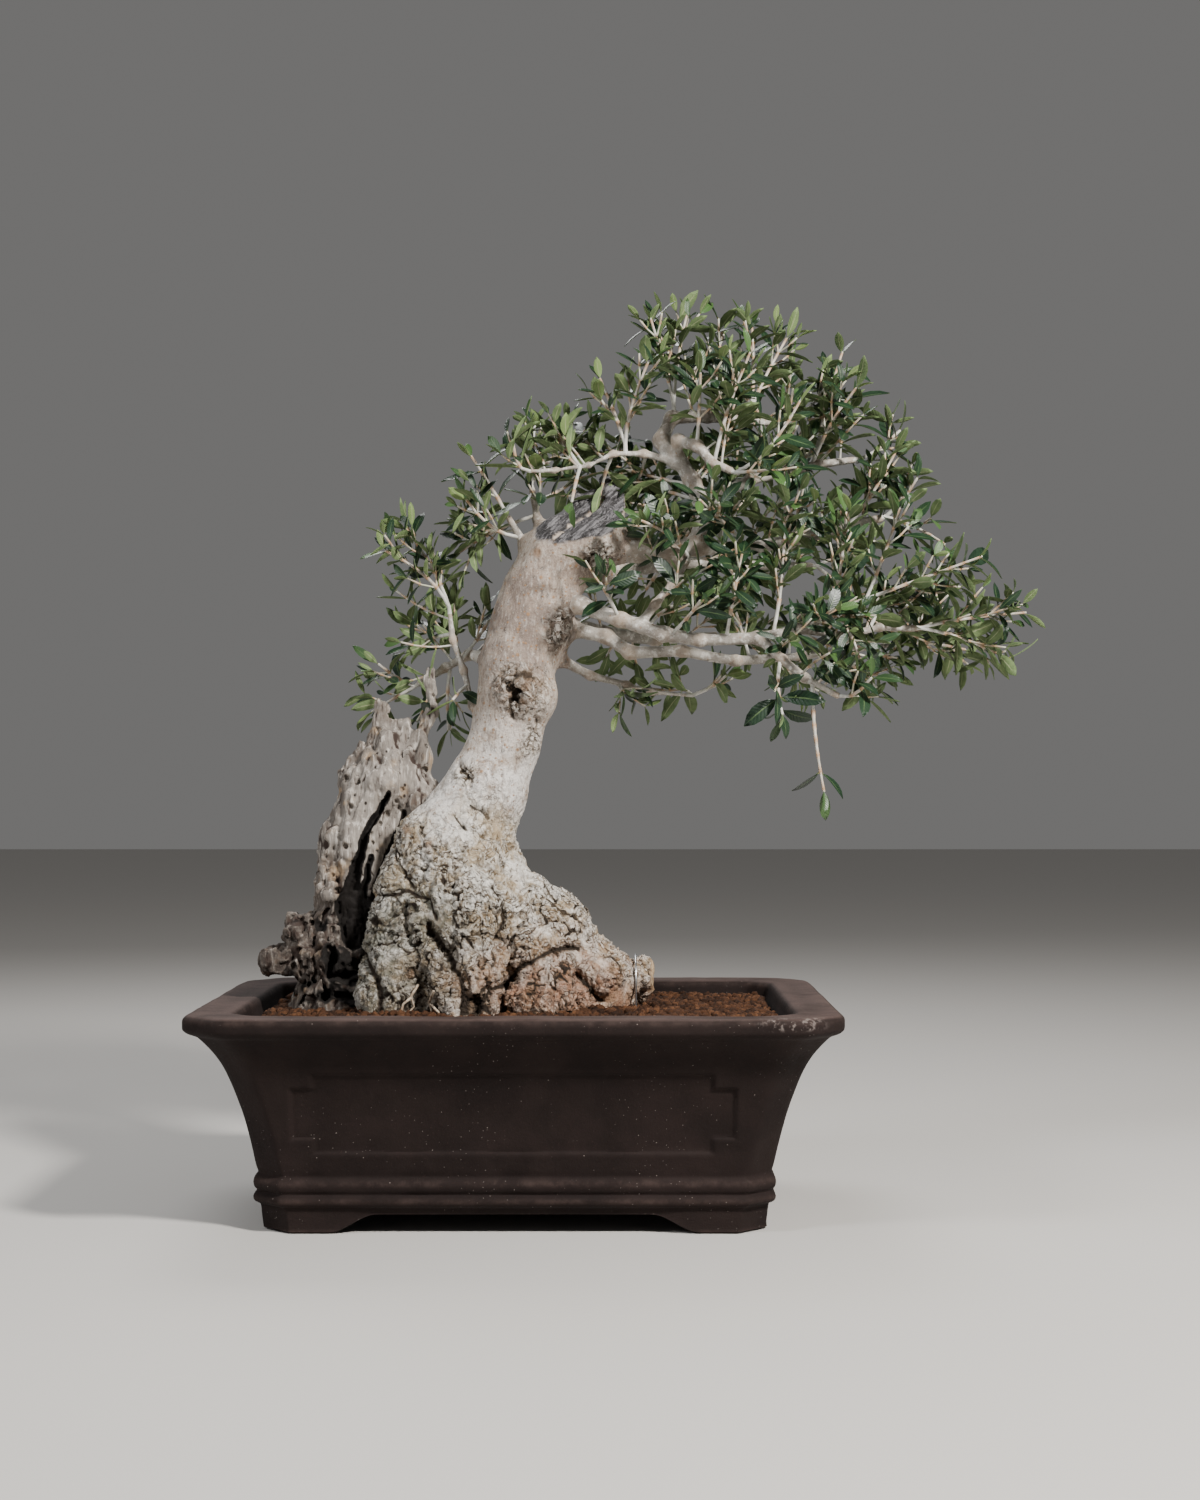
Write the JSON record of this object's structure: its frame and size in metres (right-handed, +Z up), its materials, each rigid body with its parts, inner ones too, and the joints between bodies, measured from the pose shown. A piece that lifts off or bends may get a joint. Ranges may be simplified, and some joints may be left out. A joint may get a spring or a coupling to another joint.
{
  "type": "olive bonsai tree",
  "caption": "Olive bonsai with a leaning live trunk, pitted deadwood and leafy twigs, rooted in grainy soil in a rectangular brown stoneware pot with cut corners.",
  "frame": {"origin": "under the middle of the bounding box, on the surface that the pot's feet stand on", "axes": "+Z up, the front of the tree faces -Y, the canopy leans towards +X"},
  "size_m": [0.6144, 0.3492, 0.6723],
  "materials": {
    "stoneware": "unglazed, matte",
    "mesh_plastic": "matte",
    "akadama": "loose matte clay grains",
    "olive_wood": "living bark, with bare weathered deadwood",
    "wire_metal": "bright, lightly scuffed",
    "olive_leaf": "leathery leaves, satin above and dull beneath, on thin woody twigs"
  },
  "bodies": {
    "root": {"pot": "stoneware", "drain_mesh_left": "mesh_plastic", "drain_mesh_right": "mesh_plastic", "soil": "akadama", "olive_tree_wood": "olive_wood", "anchor_wire": "wire_metal", "leafy_stem_back_low_1": "olive_leaf", "leafy_stem_back_low_2": "olive_leaf", "leafy_stem_back_right_1": "olive_leaf", "leafy_stem_back_right_2": "olive_leaf", "leafy_stem_back_right_3": "olive_leaf", "leafy_stem_crown_arch_1": "olive_leaf", "leafy_stem_crown_arch_2": "olive_leaf", "leafy_stem_crown_arch_3": "olive_leaf", "leafy_stem_crown_back_1": "olive_leaf", "leafy_stem_crown_back_2": "olive_leaf", "leafy_stem_crown_back_3": "olive_leaf", "leafy_stem_crown_back_4": "olive_leaf", "leafy_stem_crown_left_1": "olive_leaf", "leafy_stem_crown_left_2": "olive_leaf", "leafy_stem_crown_left_3": "olive_leaf", "leafy_stem_crown_rear_1": "olive_leaf", "leafy_stem_crown_rear_2": "olive_leaf", "leafy_stem_crown_rear_3": "olive_leaf", "leafy_stem_crown_right_1": "olive_leaf", "leafy_stem_crown_right_2": "olive_leaf", "leafy_stem_crown_right_3": "olive_leaf", "leafy_stem_far_right_1": "olive_leaf", "leafy_stem_far_right_2": "olive_leaf", "leafy_stem_left_low_1": "olive_leaf", "leafy_stem_left_low_2": "olive_leaf", "leafy_stem_left_low_3": "olive_leaf", "leafy_stem_left_low_4": "olive_leaf", "leafy_stem_left_rear_1": "olive_leaf", "leafy_stem_left_rear_2": "olive_leaf", "leafy_stem_left_rear_3": "olive_leaf", "leafy_stem_left_top_1": "olive_leaf", "leafy_stem_left_top_2": "olive_leaf", "leafy_stem_left_up_1": "olive_leaf", "leafy_stem_left_up_2": "olive_leaf", "leafy_stem_low_back_1": "olive_leaf", "leafy_stem_low_back_2": "olive_leaf", "leafy_stem_low_back_3": "olive_leaf", "leafy_stem_low_drop_1": "olive_leaf", "leafy_stem_low_drop_2": "olive_leaf", "leafy_stem_low_drop_3": "olive_leaf", "leafy_stem_low_front_1": "olive_leaf", "leafy_stem_low_front_2": "olive_leaf", "leafy_stem_low_front_3": "olive_leaf", "leafy_stem_low_front_4": "olive_leaf", "leafy_stem_low_front_5": "olive_leaf", "leafy_stem_low_front_6": "olive_leaf", "leafy_stem_low_rise_1": "olive_leaf", "leafy_stem_mid_right_1": "olive_leaf", "leafy_stem_mid_right_2": "olive_leaf", "leafy_stem_mid_right_3": "olive_leaf", "leafy_stem_mid_right_4": "olive_leaf", "leafy_stem_under_1": "olive_leaf", "leafy_stem_under_2": "olive_leaf"}
  },
  "joints": []
}
